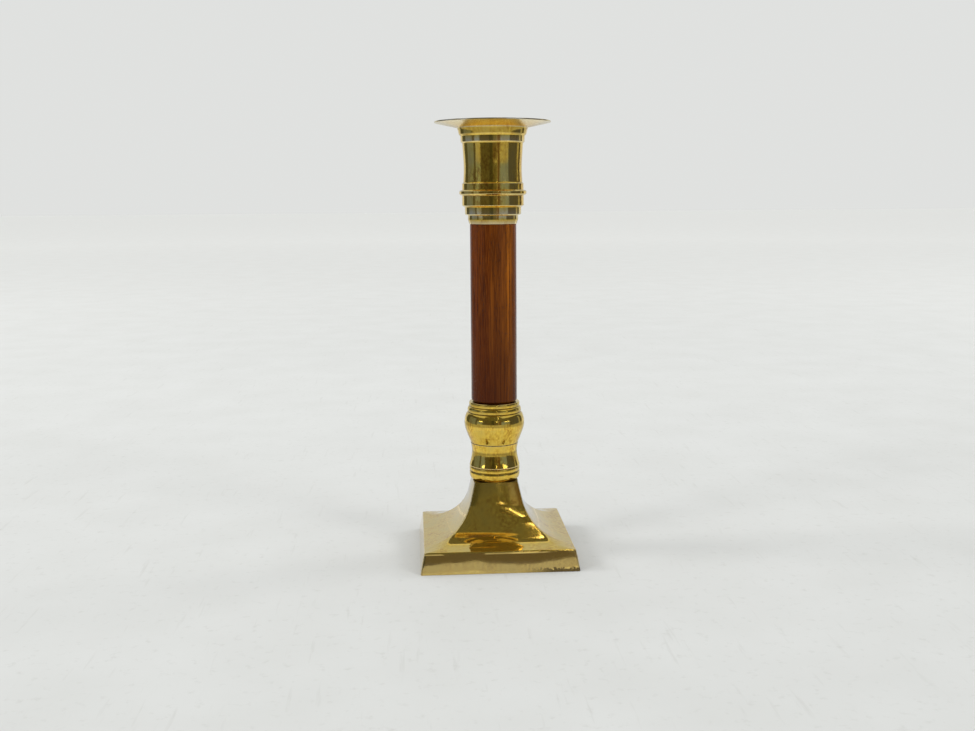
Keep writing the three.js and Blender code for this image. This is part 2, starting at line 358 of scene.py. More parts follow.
def make_upper_knop():
    """Bulb above the knop's seam, with two beads on it. The column's tenon stands in its top."""
    radius = high("upper_knop").x
    seam_radius = high("lower_knop").x - 0.65
    bulb_start = (seam_radius, KNOP_SEAM + 0.2)
    crest = (radius, KNOP_TOP - 10.8)
    bulb_groove = (radius - 2.05, KNOP_TOP - 5.2)
    bead_crest = (radius - 1.6, KNOP_TOP - 3.8)
    bead_groove = (radius - 2.7, KNOP_TOP - 2.3)
    top_crest = (radius - 2.35, KNOP_TOP - 0.9)
    tenon_hole = SPIGOT_RADIUS + 0.8
    tenon_recess = low("wood_column").z - FIT_GAP
    outline = softened([
        (SPIGOT_RADIUS + FIT_GAP, KNOP_SEAM),
        (seam_radius - 0.2, KNOP_SEAM),
        (seam_radius, KNOP_SEAM + 0.12),
        *bezier(bulb_start, (12.15, 56.9), (14.6, 61.6), crest),
        *quarter(crest, bulb_groove, 24, "up")[1:],
        *bead(bulb_groove, bead_crest, bead_groove)[1:],
        *bead(bead_groove, top_crest, (radius - 2.75, KNOP_TOP - 0.05))[1:],
        (radius - 2.95, KNOP_TOP),
        (tenon_hole, KNOP_TOP, 0.2),
        (tenon_hole, tenon_recess),
        (ROD_HOLE, tenon_recess),
        *hole_end(KNOP_SEAM + SPIGOT_HEIGHT + FIT_GAP),
    ])
    return turned("brass_upper_knop", outline, "upper_knop")


def make_wood_column():
    """Slim column with a rounded lower edge, a tenon at each end and a bore for the rod."""
    radius = high("wood_column").x
    bore = 4.0
    tenon = 7.5
    top_tenon = 9.8
    bottom = low("wood_column").z
    top = high("wood_column").z
    rounding = 1.5
    outline = softened([
        (bore, bottom, 0.3),
        (tenon, bottom, 0.4),
        (tenon, KNOP_TOP),
        *quarter((radius - rounding, KNOP_TOP), (radius, KNOP_TOP + rounding), 12, "out"),
        (radius, COLUMN_TOP, 0.25),
        (top_tenon, COLUMN_TOP),
        (top_tenon, top, 0.4),
        (bore, top, 0.3),
    ])
    return turned("turned_wood_column", outline, "wood_column")


def make_column_cap():
    """Bevelled ferrule over the column's upper tenon."""
    radius = high("column_cap").x
    bore = 10.1
    bevel_in = 0.55
    bevel_up = 2.1
    recess = high("wood_column").z + FIT_GAP
    outline = softened([
        (bore, COLUMN_TOP),
        (radius - bevel_in, COLUMN_TOP, 0.1),
        (radius, COLUMN_TOP + bevel_up, 0.25),
        (radius, CAP_TOP, 0.15),
        *spigot(CAP_TOP),
        (ROD_HOLE, recess),
        (bore, recess),
    ])
    return turned("brass_column_cap", outline, "column_cap")


def make_capital():
    """Two stepped rings under the socket."""
    radius = high("capital").x
    lower_radius = radius - 1.3
    boss_recess = low("candle_socket").z - FIT_GAP
    outline = softened([
        (SPIGOT_RADIUS + FIT_GAP, CAP_TOP),
        (lower_radius - 0.75, CAP_TOP, 0.12),
        (lower_radius, CAP_TOP + 0.5, 0.2),
        (lower_radius, CAP_TOP + 3.8, 0.15),
        (radius, CAP_TOP + 4.6, 0.3),
        (radius, CAPITAL_TOP, 0.3),
        (SPIGOT_RADIUS + FIT_GAP, CAPITAL_TOP),
        (SPIGOT_RADIUS + FIT_GAP, boss_recess),
        (ROD_HOLE, boss_recess),
        *hole_end(CAP_TOP + SPIGOT_HEIGHT + FIT_GAP),
    ])
    return turned("brass_capital", outline, "capital")


def make_candle_socket():
    """Waisted cup on two stepped rings, with a flared lip, a flat floor for the candle and a boss that the
    rod screws into."""
    lip = high("candle_socket").x
    bore = 12.0
    floor = 183.0
    ring_radius = 16.1
    ring_top = 177.3
    step_radius = 14.7
    step_top = 180.9
    boss_bottom = low("candle_socket").z
    thread_hole = ROD_RADIUS + FIT_GAP
    hole_top = high("tie_rod").z + 0.6
    cup = sweep([(14.15, 181.5), (13.9, 187.0), (14.0, 192.0), (14.5, 199.8)])
    flare = sweep([(ring_radius, 204.0), (16.5, 205.8), (lip, SOCKET_LIP)])
    outline = softened([
        (0, hole_top),
        (thread_hole, hole_top, 0.2),
        (thread_hole, boss_bottom, 0.2),
        (SPIGOT_RADIUS, boss_bottom, 0.3),
        (SPIGOT_RADIUS, CAPITAL_TOP),
        (ring_radius - 0.8, CAPITAL_TOP, 0.15),
        (ring_radius, CAPITAL_TOP + 0.7, 0.25),
        (ring_radius, ring_top, 0.3),
        (15.5, 177.85, 0.2),
        (step_radius, 177.9, 0.15),
        (step_radius, step_top, 0.3),
        *cup,
        (15.25, 200.4, 0.15),
        (15.33, 203.1, 0.15),
        *flare,
        (bore, SOCKET_LIP, 0.3),
        (bore, floor, 0.5),
        (0, floor),
    ], closed=False)
    return turned("brass_candle_socket", outline, "candle_socket")


def make_drip_pan():
    """Wide, thin spun dish with a short sleeve that drops into the socket."""
    rim = high("drip_pan").x
    crease = high("candle_socket").x
    sheet = 0.6
    outer = 11.7
    inner = 11.1
    outline = softened([
        (inner, SLEEVE_BOTTOM, 0.2),
        (outer, SLEEVE_BOTTOM, 0.2),
        (outer, SOCKET_LIP, 0.1),
        (crease, SOCKET_LIP, 1.5),
        (rim, PAN_RIM - sheet, 0.08),
        (rim, PAN_RIM, 0.06),
        (crease - 0.2, SOCKET_LIP + sheet, 1.5),
        (inner, SOCKET_LIP + sheet, 0.5),
    ])
    return turned("brass_drip_pan", outline, "drip_pan", body="pan", segments=256)


# ---- the cast foot

PLINTH_TOP_HALF = 35.74
PLINTH_HEIGHT = 10.17
PLINTH_BULGE = 0.09
NECK_HALF = 10.75
CAST_WALL = 3.0
INSIDE_CORNER = 0.8

# The hollow sides are arcs of SWEEP_RADIUS that stop some degrees before level and before upright
SWEEP_RADIUS = 22.8
SWEEP_CENTRE = (35.0, 33.4)
SWEEP_TOP_TILT = 13
SWEEP_FOOT_TILT = 10

# Each hollow side is crowned, fully so from CROWN_RISE above the plinth. A part of the crown is taken off
# the side's ends
FACE_CROWN = 0.42
CROWN_RISE = 8
CROWN_SPLIT = 3

# The four ridges are soft above the plinth's corners. Shares of the way from the plinth's edge to the neck
RIDGE_RADIUS = 0.6
RIDGE_SOFTNESS = 9.0
RIDGE_SOFT_FROM = 0.12
RIDGE_CRISP_FROM = 0.7
RIDGE_FADE_POWER = 1.5


def foot_sweep(inset, steps):
    """Hollow curve of the foot's sides as (half width, height), moved inwards by inset."""
    first = math.radians(-90 - SWEEP_FOOT_TILT)
    last = math.radians(-180 + SWEEP_TOP_TILT)
    radius = SWEEP_RADIUS + inset
    points = []
    for i in range(steps + 1):
        turn = first + (last - first) * i / steps
        half = SWEEP_CENTRE[0] + radius * math.cos(turn)
        points.append((half, SWEEP_CENTRE[1] + radius * math.sin(turn)))
    return points


def plinth_side(steps=8):
    """Points between the plinth's lower and upper edge: its side is slightly crowned."""
    points = []
    for i in range(1, steps):
        t = i / steps
        half = FOOT_HALF + (PLINTH_TOP_HALF - FOOT_HALF) * t + 4 * PLINTH_BULGE * t * (1 - t)
        points.append((half, PLINTH_HEIGHT * t))
    return points


def foot_outside():
    """Outline of the foot's outside as (half width, height), from under its rim to the top of its neck."""
    return softened([
        (FOOT_HALF - 0.6, 0),
        (FOOT_HALF, 0, 0.35),
        *plinth_side(),
        (PLINTH_TOP_HALF, PLINTH_HEIGHT, 0.8),
        *foot_sweep(0, 40),
        (NECK_HALF, FOOT_TOP, 0.25),
        (NECK_HALF - 2, FOOT_TOP),
    ], closed=False)


def foot_inside(nut_seat):
    """Outline of the hollow under the foot as (half width, height), from its rim to the nut's seat."""
    lean = CAST_WALL * (FOOT_HALF - PLINTH_TOP_HALF) / PLINTH_HEIGHT
    neck_lean = (FOOT_TOP - nut_seat) * math.tan(math.radians(SWEEP_TOP_TILT))
    seat_half = NECK_HALF - CAST_WALL + neck_lean
    return softened([
        (FOOT_HALF - CAST_WALL + 0.6, 0),
        (FOOT_HALF - CAST_WALL, 0, 0.5),
        (PLINTH_TOP_HALF - CAST_WALL + lean, PLINTH_HEIGHT - CAST_WALL, 1.2),
        *foot_sweep(CAST_WALL, 24),
        (seat_half, nut_seat, 1.0),
        (seat_half - 2, nut_seat),
    ], closed=False)


def ridge_radius(half):
    """Plan radius of the foot's four ridges, which soften towards the plinth's corners."""
    inwards = (PLINTH_TOP_HALF - half) / (PLINTH_TOP_HALF - NECK_HALF)
    fade = max(1 - inwards / RIDGE_CRISP_FROM, 0) ** RIDGE_FADE_POWER
    return RIDGE_RADIUS + RIDGE_SOFTNESS * held(inwards / RIDGE_SOFT_FROM) * fade


def foot_ring(half, height, corner, crown=0, along=36, around=6):
    """Square ring with round corners. Each side stands out by crown in its middle, and has points close to
    its ends, so that its smooth shading stays flat."""
    widest_corner = 0.4
    outer_point = 0.985
    corner = min(corner, half * widest_corner)
    flat = half - corner
    ring = []
    for side in range(4):
        spin = Matrix.Rotation(side * math.pi / 2, 2)
        for k in range(along):
            across = -1 if k == 0 else outer_point * (2 * (k - 1) / (along - 2) - 1)
            ring.append(spin @ Vector((half + crown * (1 - across * across), flat * across)))
        for k in range(around):
            angle = math.pi / 2 * k / around
            ring.append(spin @ Vector((flat + corner * math.cos(angle), flat + corner * math.sin(angle))))
    return [(p.x, p.y, height) for p in ring]


def round_ring(radius, height):
    """Circle with its points in the directions of a square ring's, so that the two can be joined."""
    square_half = 10
    square_corner = 1
    ring = []
    for x, y, _ in foot_ring(square_half, height, square_corner):
        distance = math.hypot(x, y)
        ring.append((radius * x / distance, radius * y / distance, height))
    return ring


def make_foot():
    """Hollow casting: square rings up its outside, round ones down through its neck, and square ones down
    its inside."""
    spigot_hole = 5.5
    spigot_recess = low("foot_collar").z - FIT_GAP
    nut_seat = high("foot_washer").z
    outside = foot_outside()
    crisp_below = PLINTH_HEIGHT - 0.5
    ridges = []
    rings = []
    for half, height in outside:
        ridges.append(ridge_radius(half) if height > crisp_below else RIDGE_RADIUS)
        crown = FACE_CROWN * held((height - PLINTH_HEIGHT) / CROWN_RISE)
        rings.append(foot_ring(half - crown / CROWN_SPLIT, height, ridges[-1], crown))
    rings += [round_ring(spigot_hole, height) for height in (FOOT_TOP, spigot_recess)]
    rings += [round_ring(ROD_HOLE, height) for height in (spigot_recess, nut_seat)]
    for half, height in reversed(foot_inside(nut_seat)):
        rings.append(foot_ring(half, height, INSIDE_CORNER))
    size = len(rings[0])
    vertices = [point for ring in rings for point in ring]
    faces = ring_faces(len(rings), size)
    piece = new_piece("cast_brass_foot", vertices, faces, "foot")
    piece["outer_faces"] = (len(outside) + 1) * size
    mark_foot(piece, outside, ridges, size)
    return piece


def mark_foot(piece, outside, ridges, size):
    """Dirt and painted shade where the collar sits on the foot, and worn metal with a painted highlight
    along the middle of the ridges, less where they are soft."""
    # Painted shade and dirt at the top of the foot, under the collar
    shade_and_dirt_reach = 0.3
    depths = [held((height - FOOT_TOP + shade_and_dirt_reach) / shade_and_dirt_reach) for _, height in outside]
    mark(piece, "recess", depths + [0], size)
    quadrant = size // 4
    ridge_middle = (quadrant - 4, quadrant - 3, quadrant - 2)
    # Worn metal and a painted highlight along the middle of the ridges
    wear_and_highlight = piece.data.attributes.new("edge", "FLOAT", "POINT")
    for i, entry in enumerate(wear_and_highlight.data):
        if i % quadrant in ridge_middle and i // size < len(outside) - 1:
            entry.value = RIDGE_RADIUS / ridges[i // size]


# ---- steel fasteners, seen from below in the hollow

def make_tie_rod():
    """Rod with chamfered ends and a helical thread cut into its lower end."""
    bottom = low("tie_rod").z
    top = high("tie_rod").z
    thread_top = high("foot_washer").z + 2
    pitch = 1.0
    depth = 0.35
    end_inset = 0.45
    end_chamfer = 0.35
    run_out = 0.4
    slices = 10
    segments = 48
    slice_count = int((thread_top - bottom) / pitch * slices)
    heights = [bottom, bottom + end_chamfer]
    heights += [bottom + end_chamfer + pitch * i / slices for i in range(1, slice_count)]
    heights += [thread_top + run_out, top - run_out, top]
    vertices = []
    for height in heights:
        for k in range(segments):
            turn = k / segments
            radius = ROD_RADIUS
            if height < thread_top:
                radius -= depth * 2 * abs((height / pitch - turn) % 1 - 0.5)
            if height in (bottom, top):
                radius = ROD_RADIUS - end_inset
            vertices.append(polar(radius, 2 * math.pi * turn, height))
    vertices += [(0, 0, bottom), (0, 0, top)]
    faces = ring_faces(len(heights), segments, closed=False) + cap_faces(len(heights), segments)
    return new_piece("steel_tie_rod", vertices, faces, "tie_rod")


def make_foot_washer():
    """Flat washer between the foot and the nut."""
    radius = high("foot_washer").x
    bore = ROD_RADIUS + FIT_GAP
    outline = softened([
        (bore, low("foot_washer").z, 0.15),
        (radius, low("foot_washer").z, 0.35),
        (radius, high("foot_washer").z, 0.15),
        (bore, high("foot_washer").z, 0.15),
    ])
    return turned("steel_foot_washer", outline, "foot_washer", segments=96)


def make_lock_washer():
    """Split spring washer: a ring with a slanting slit."""
    radius = high("lock_washer").x
    bore = ROD_RADIUS + FIT_GAP
    bottom = low("lock_washer").z
    top = high("lock_washer").z
    edge = 0.12
    half_slit = 0.4 / radius
    slant = 0.9
    slit_turn = -math.pi / 3
    steps = 90
    outline = softened([
        (bore, bottom, edge),
        (radius, bottom, 0.25),
        (radius, top, edge),
        (bore, top, edge),
    ], steps=3)
    vertices = []
    for i in range(steps + 1):
        for across, height in outline:
            lean = slant * ((height - bottom) / (top - bottom) - 0.5) / radius
            swing = half_slit + (2 * math.pi - 2 * half_slit) * i / steps
            vertices.append(polar(across, slit_turn + lean + swing, height))
    count = len(outline)
    faces = [tuple(range(count)), tuple(steps * count + k for k in reversed(range(count)))]
    faces += ring_faces(steps + 1, count, closed=False)
    piece = new_piece("steel_lock_washer", vertices, faces, "lock_washer")
    mesh = bmesh.new()
    mesh.from_mesh(piece.data)
    bmesh.ops.recalc_face_normals(mesh, faces=mesh.faces)
    mesh.to_mesh(piece.data)
    mesh.free()
    for polygon in piece.data.polygons:
        polygon.use_smooth = len(polygon.vertices) == 4
    return piece


def make_foot_nut():
    """Hexagon nut with chamfered corners and a countersunk hole."""
    bottom = low("foot_nut").z
    top = high("foot_nut").z
    corner = max(high("foot_nut").x, high("foot_nut").y)
    flats = corner * math.cos(math.pi / 6)
    corner_turn = math.pi / 6 if high("foot_nut").y > high("foot_nut").x else 0
    chamfer_from = flats * 0.96
    chamfer_slope = math.tan(math.pi / 6)
    clearance = 0.02
    bore = ROD_RADIUS + clearance
    sink = 0.5
    segments = 144
    rings = [
        (bore, bottom + sink), (bore + sink, bottom), (chamfer_from, bottom), (None, bottom),
        (None, top), (chamfer_from, top), (bore + sink, top), (bore, top - sink),
    ]
    vertices = []
    for radius, height in rings:
        for k in range(segments):
            angle = 2 * math.pi * k / segments
            reach = radius
            level = height
            if radius is None:
                phase = (angle + corner_turn) % (math.pi / 3) - math.pi / 6
                reach = flats / math.cos(phase) - clearance
                drop = (reach - chamfer_from) * chamfer_slope
                level = height + drop if height == bottom else height - drop
            vertices.append(polar(reach, angle, level))
    faces = ring_faces(len(rings), segments)
    return new_piece("steel_foot_nut", vertices, faces, "foot_nut", smooth=False)


# ---- materials

def fill(tree, made, inputs):
    """Sets or links the inputs of a node, by name or number."""
    for key, value in inputs.items():
        if isinstance(value, bpy.types.NodeSocket):
            tree.links.new(value, made.inputs[key])
        else:
            made.inputs[key].default_value = value


def node(tree, kind, inputs=None, **settings):
    """New shader node with its settings and inputs."""
    made = tree.nodes.new("ShaderNode" + kind)
    for key, value in settings.items():
        setattr(made, key, value)
    fill(tree, made, inputs or {})
    return made


def stretched(tree, scale=(1, 1, 1)):
    """Object coordinates in millimetres, scaled by (x, y, z)."""
    coordinates = node(tree, "TexCoord").outputs["Object"]
    return node(tree, "Mapping", {"Vector": coordinates, "Scale": [s / MM for s in scale]}).outputs["Vector"]


def place_in_mm(tree):
    """The X, Y and Z of a place on the object, in millimetres."""
    return node(tree, "SeparateXYZ", {"Vector": stretched(tree)}).outputs


def speckle(tree, scale, detail=3.0, roughness=0.5, offset=0.0, distortion=0.0):
    """Noise over the object, with scale in features per millimetre along (x, y, z)."""
    place = node(tree, "Mapping", {"Vector": stretched(tree, scale), "Location": (offset, offset, offset)})
    return node(tree, "TexNoise", {
        "Vector": place.outputs["Vector"], "Scale": 1.0, "Detail": detail, "Roughness": roughness,
        "Distortion": distortion,
    }).outputs["Fac"]


def cells(tree, scale):
    """Distance from scattered points, with scale in points per millimetre along (x, y, z)."""
    return node(tree, "TexVoronoi", {"Vector": stretched(tree, scale), "Scale": 1.0}).outputs["Distance"]


def span(tree, value, low_in, high_in, low_out=0.0, high_out=1.0):
    """Value mapped from one range to another, and held inside it."""
    return node(tree, "MapRange", {
        "Value": value, "From Min": low_in, "From Max": high_in, "To Min": low_out, "To Max": high_out,
    }).outputs["Result"]


def blend(tree, factor, first, second):
    """Mix of two colours."""
    return node(tree, "Mix", {0: factor, 6: first, 7: second}, data_type="RGBA").outputs[2]


def math_node(tree, operation, first, second):
    return node(tree, "Math", {0: first, 1: second}, operation=operation).outputs[0]


def plus(tree, first, second):
    return math_node(tree, "ADD", first, second)


def times(tree, first, second):
    return math_node(tree, "MULTIPLY", first, second)


def new_material(name):
    """Empty material with a Principled shader."""
    material = bpy.data.materials.new(name)
    material.use_nodes = True
    tree = material.node_tree
    return material, tree, tree.nodes["Principled BSDF"]


def set_relief(tree, shader, height):
    """Relief from a height in millimetres."""
    bump = node(tree, "Bump", {"Height": height, "Strength": 1.0, "Distance": MM})
    fill(tree, shader, {"Normal": bump.outputs["Normal"]})


CAST_BRASS = (0.88, 0.61, 0.105, 1)
TURNED_BRASS = (0.94, 0.65, 0.092, 1)
SPUN_BRASS = (0.74, 0.47, 0.045, 1)
# Rubbed brass, also a painted highlight along crisp edges and ridges
BRASS_RUBBED_AND_HIGHLIGHT = (0.97, 0.84, 0.52, 1)
BRASS_TARNISH = (0.52, 0.28, 0.035, 1)
BRASS_DULL = (0.64, 0.47, 0.12, 1)
# Duller, darker plinth sides: tarnish and painted shade near the floor
PLINTH_TARNISH_AND_SHADE = (0.70, 0.53, 0.20, 1)
# Colour of dirt and painted shade in recesses and seams, and of the pits
BRASS_DIRT_AND_SHADE = (0.07, 0.04, 0.012, 1)

RAW_BRASS = (0.30, 0.19, 0.065, 1)
RAW_BRASS_DARK = (0.16, 0.095, 0.04, 1)
RAW_BRASS_GRAIN = (0.07, 0.045, 0.025, 1)

WOOD_DARK = (0.100, 0.021, 0.001, 1)
WOOD_LIGHT = (0.440, 0.135, 0.009, 1)
WOOD_LAYER = (0.060, 0.011, 0.001, 1)
WOOD_STREAK = (0.036, 0.007, 0.001, 1)
WOOD_FIBRE = (0.33, 0.095, 0.008, 1)
WOOD_PORE = (0.016, 0.005, 0.002, 1)
WOOD_LOWER = (0.047, 0.009, 0.002, 1)

ZINC = (0.50, 0.50, 0.49, 1)
ZINC_STAIN = (0.33, 0.32, 0.29, 1)
RUST = (0.22, 0.10, 0.045, 1)

PAPER = (0.600, 0.605, 0.592, 1)
PAPER_PALE = (0.628, 0.634, 0.624, 1)
PAPER_MARK = (0.50, 0.50, 0.48, 1)


def brass_material(name, seed, clean, coat, smoothest, roughest, tarnish_amount, ripple):
    """Polished brass with tarnish, rubbed edges that also carry a painted highlight, dirt and painted shade
    in its recesses and seams, and pits. Ripple is the height of the lathe's lengthwise ripples in
    millimetres, and None for the cast and filed foot."""
    material, tree, shader = new_material(name)
    cast = ripple is None
    place = place_in_mm(tree)
    patches = speckle(tree, (0.11, 0.11, 0.08), 5, 0.6, seed)
    fine_patches = speckle(tree, (0.8, 0.8, 0.5), 4, 0.65, seed + 7)
    smears = speckle(tree, (0.9, 0.9, 0.09), 4, 0.6, seed + 13)
    recess = node(tree, "Attribute", attribute_name="recess").outputs["Fac"]
    edge = node(tree, "Attribute", attribute_name="edge").outputs["Fac"]

    pit_size = span(tree, patches, 0.3, 0.7, 0.12, -0.02)
    pit = span(tree, plus(tree, cells(tree, (0.36, 0.36, 0.36)), pit_size), 0.04, 0.08, 1, 0)
    tarnish = times(tree, span(tree, patches, 0.42, 0.60), span(tree, fine_patches, 0.38, 0.60))
    tarnish = plus(tree, tarnish, span(tree, smears, 0.52, 0.72, 0, 0.5))
    # Rubbed edges, lightened also as a painted highlight along crisp outer edges
    rubbed_and_highlight = times(tree, edge, span(tree, fine_patches, 0.3, 0.6, 1.0, 0.6))
    # Dirt and painted shade: darker in grooves and where two pieces meet
    dirt_and_shade = times(tree, recess, span(tree, fine_patches, 0.3, 0.6, 0.55, 1.0))

    colour = blend(tree, span(tree, patches, 0.55, 0.38, 0, 0.8 * tarnish_amount), clean, BRASS_DULL)
    colour = blend(tree, times(tree, tarnish, tarnish_amount), colour, BRASS_TARNISH)
    colour = blend(tree, rubbed_and_highlight, colour, BRASS_RUBBED_AND_HIGHLIGHT)
    if cast:
        # Plinth sides darker towards the floor: tarnish and painted shade
        colour = blend(tree, span(tree, place["Z"], 10.2, 9.4, 0, 0.6), colour, PLINTH_TARNISH_AND_SHADE)
        dirt_and_shade = plus(tree, dirt_and_shade, plinth_low_darkening(tree, place, fine_patches))
    colour = blend(tree, dirt_and_shade, colour, BRASS_DIRT_AND_SHADE)
    colour = blend(tree, times(tree, pit, 0.6), colour, BRASS_DIRT_AND_SHADE)

    roughness = span(tree, fine_patches, 0.3, 0.75, smoothest, roughest)
    roughness = plus(tree, roughness, times(tree, dirt_and_shade, 0.35))
    roughness = plus(tree, roughness, times(tree, tarnish, 0.04))
    if cast:
        roughness = plus(tree, roughness, times(tree, rubbed_and_highlight, 0.3))
    metallic = 0.975 if cast else 1.0
    fill(tree, shader, {"Base Color": colour, "Roughness": roughness, "Metallic": metallic})
    fill(tree, shader, {"Coat Weight": coat, "Coat Roughness": 0.06})

    height = brass_wear_relief(tree, seed, pit)
    if cast:
        height = plus(tree, height, filed_plinth_relief(tree, seed, place))
    else:
        height = lathe_relief(tree, seed, height, ripple)
        tangent = node(tree, "Tangent", direction_type="RADIAL", axis="Z").outputs["Tangent"]
        fill(tree, shader, {"Anisotropic": 0.2, "Tangent": tangent})
    set_relief(tree, shader, height)
    return material


def plinth_low_darkening(tree, place, fine_patches):
    """Darker low on the plinth, most of it at the front right corner, with a ragged upper border."""
    ragged_height = plus(tree, place["Z"], span(tree, fine_patches, 0.35, 0.55, 0, -1.9))
    towards_corner = math_node(tree, "SUBTRACT", place["X"], place["Y"])
    amount = span(tree, towards_corner, 48, 62, 0.08, 1.0)
    low_darkening = times(tree, amount, span(tree, ragged_height, 0.2, 0.6, 1, 0))
    return times(tree, low_darkening, 0.8)


def brass_wear_relief(tree, seed, pit):
    """Faint waves, pits and long scratches, as a height in millimetres."""
    wave_height = 0.011
    pit_depth = 0.010
    scratch_depth = 0.0012
    waves = speckle(tree, (0.16, 0.16, 0.12), 2, 0.5, seed + 3)
    scratches = span(tree, speckle(tree, (0.6, 9.0, 1.2), 2, 0.6, seed + 5), 0.62, 0.75)
    height = plus(tree, times(tree, waves, wave_height), times(tree, pit, -pit_depth))
    return plus(tree, height, times(tree, scratches, -scratch_depth))


def lathe_relief(tree, seed, height, ripple):
    """Lengthwise ripples and fine rings from the lathe, added to a height in millimetres."""
    ring_height = 0.0016
    ripples = speckle(tree, (0.55, 0.55, 0.035), 2, 0.5, seed + 11)
    rings = speckle(tree, (0.02, 0.02, 5.0), 3, 0.7, seed + 9)
    height = plus(tree, height, times(tree, ripples, ripple))
    return plus(tree, height, times(tree, rings, ring_height))


def filed_plinth_relief(tree, seed, place):
    """The plinth's filed sides lean in and out a little along their length: a height that grows upwards."""
    lean = plus(tree, speckle(tree, (0.035, 0.035, 0.0), 2, 0.5, seed + 1), -0.5)
    on_plinth = span(tree, place["Z"], 9.0, 10.2, 0.07, 0)
    return times(tree, times(tree, lean, place["Z"]), on_plinth)


def raw_cast_material():
    """Inside of the casting: dull, grainy, dark yellow-brown metal."""
    material, tree, shader = new_material("raw_cast_brass")
    grain = speckle(tree, (1.6, 1.6, 1.6), 6, 0.7)
    patches = speckle(tree, (0.09, 0.09, 0.09), 4, 0.6, 4.0)
    colour = blend(tree, span(tree, patches, 0.35, 0.65), RAW_BRASS, RAW_BRASS_DARK)
    colour = blend(tree, span(tree, grain, 0.55, 0.75, 0, 0.6), colour, RAW_BRASS_GRAIN)
    roughness = span(tree, grain, 0.3, 0.7, 0.5, 0.75)
    fill(tree, shader, {"Base Color": colour, "Roughness": roughness, "Metallic": 0.85})
    set_relief(tree, shader, times(tree, grain, 0.25))
    return material


def wood_material():
    """Dark red-brown turned hardwood: growth layers cut lengthways, fine streaks, short pores, a lighter
    right side, a darker lower half and a satin polish."""
    material, tree, shader = new_material("dark_red_brown_wood")
    place = place_in_mm(tree)
    drift = speckle(tree, (0.05, 0.05, 0.008), 3, 0.5, 2.0)
    layers = speckle(tree, (0.16, 0.10, 0.0015), 4, 0.6, distortion=0.4)
    streaks = speckle(tree, (1.1, 1.1, 0.035), 5, 0.65, 5.0)
    fibres = speckle(tree, (5.5, 5.5, 0.12), 3, 0.6, 8.0)
    pore = span(tree, cells(tree, (2.0, 2.0, 0.34)), 0.16, 0.30, 1, 0)
    pore = times(tree, pore, span(tree, streaks, 0.44, 0.56, 0.0, 1.0))

    light_side = span(tree, plus(tree, place["X"], span(tree, drift, 0.3, 0.7, -6, 6)), -3, 6)
    colour = blend(tree, light_side, WOOD_DARK, WOOD_LIGHT)
    colour = blend(tree, span(tree, layers, 0.42, 0.60, 0, 0.8), colour, WOOD_LAYER)
    colour = blend(tree, span(tree, streaks, 0.46, 0.60, 0, 0.7), colour, WOOD_STREAK)
    colour = blend(tree, span(tree, fibres, 0.45, 0.65, 0, 0.35), colour, WOOD_FIBRE)
    colour = blend(tree, times(tree, pore, 0.85), colour, WOOD_PORE)
    colour = blend(tree, span(tree, place["Z"], 140, 78, 0, 0.72), colour, WOOD_LOWER)
    roughness = plus(tree, span(tree, streaks, 0.3, 0.7, 0.16, 0.28), times(tree, pore, 0.2))
    fill(tree, shader, {"Base Color": colour, "Roughness": roughness, "Specular IOR Level": 0.12})

    height = plus(tree, times(tree, pore, -0.035), times(tree, fibres, 0.010))
    set_relief(tree, shader, plus(tree, height, times(tree, streaks, 0.015)))
    return material


def steel_material():
    """Dull zinc plate with stains and a little brown rust."""
    material, tree, shader = new_material("dull_zinc_plate")
    stains = speckle(tree, (0.35, 0.35, 0.35), 5, 0.6)
    grain = speckle(tree, (3.0, 3.0, 3.0), 4, 0.6, 3.0)
    colour = blend(tree, span(tree, stains, 0.4, 0.65), ZINC, ZINC_STAIN)
    colour = blend(tree, span(tree, grain, 0.6, 0.75, 0, 0.6), colour, RUST)
    roughness = span(tree, stains, 0.3, 0.7, 0.32, 0.52)
    fill(tree, shader, {"Base Color": colour, "Roughness": roughness, "Metallic": 0.95})
    set_relief(tree, shader, times(tree, grain, 0.02))
    return material


# ---- studio

def make_camera():
    """Camera turned to the side of the foot, pitched down, yawed and slightly rolled."""
    side_turn, pitch, yaw, roll = [
        math.radians(angle) for angle in (CAMERA_SIDE_TURN, CAMERA_PITCH, CAMERA_YAW, CAMERA_ROLL)
    ]
    aim = Matrix.Rotation(-yaw, 4, "Z") @ Matrix.Rotation(math.pi / 2 - pitch, 4, "X")
    place = Matrix.Translation((0, -CAMERA_DISTANCE, CAMERA_HEIGHT))
    data = bpy.data.cameras.new("camera")
    data.lens = CAMERA_LENS
    data.sensor_width = SENSOR_WIDTH
    data.clip_start = 0.01
    camera = bpy.data.objects.new("camera", data)
    camera.matrix_world = Matrix.Rotation(side_turn, 4, "Z") @ place @ aim @ Matrix.Rotation(roll, 4, "Z")
    bpy.context.scene.collection.objects.link(camera)
    bpy.context.scene.camera = camera


def direction(azimuth, elevation, distance):
    """Point seen from the candlestick: azimuth 0 is towards the camera, and positive to its right."""
    turn = math.radians(CAMERA_SIDE_TURN + azimuth)
    rise = math.radians(elevation)
    across = math.cos(rise) * distance
    return Vector((math.sin(turn) * across, -math.cos(turn) * across, math.sin(rise) * distance))


def glow(name, colour, strength):
    """Plain glowing material."""
    material, tree, shader = new_material(name)
    fill(tree, shader, {"Base Color": (0, 0, 0, 1), "Roughness": 1, "Specular IOR Level": 0})
    fill(tree, shader, {"Emission Color": (*colour, 1), "Emission Strength": strength})
    return material


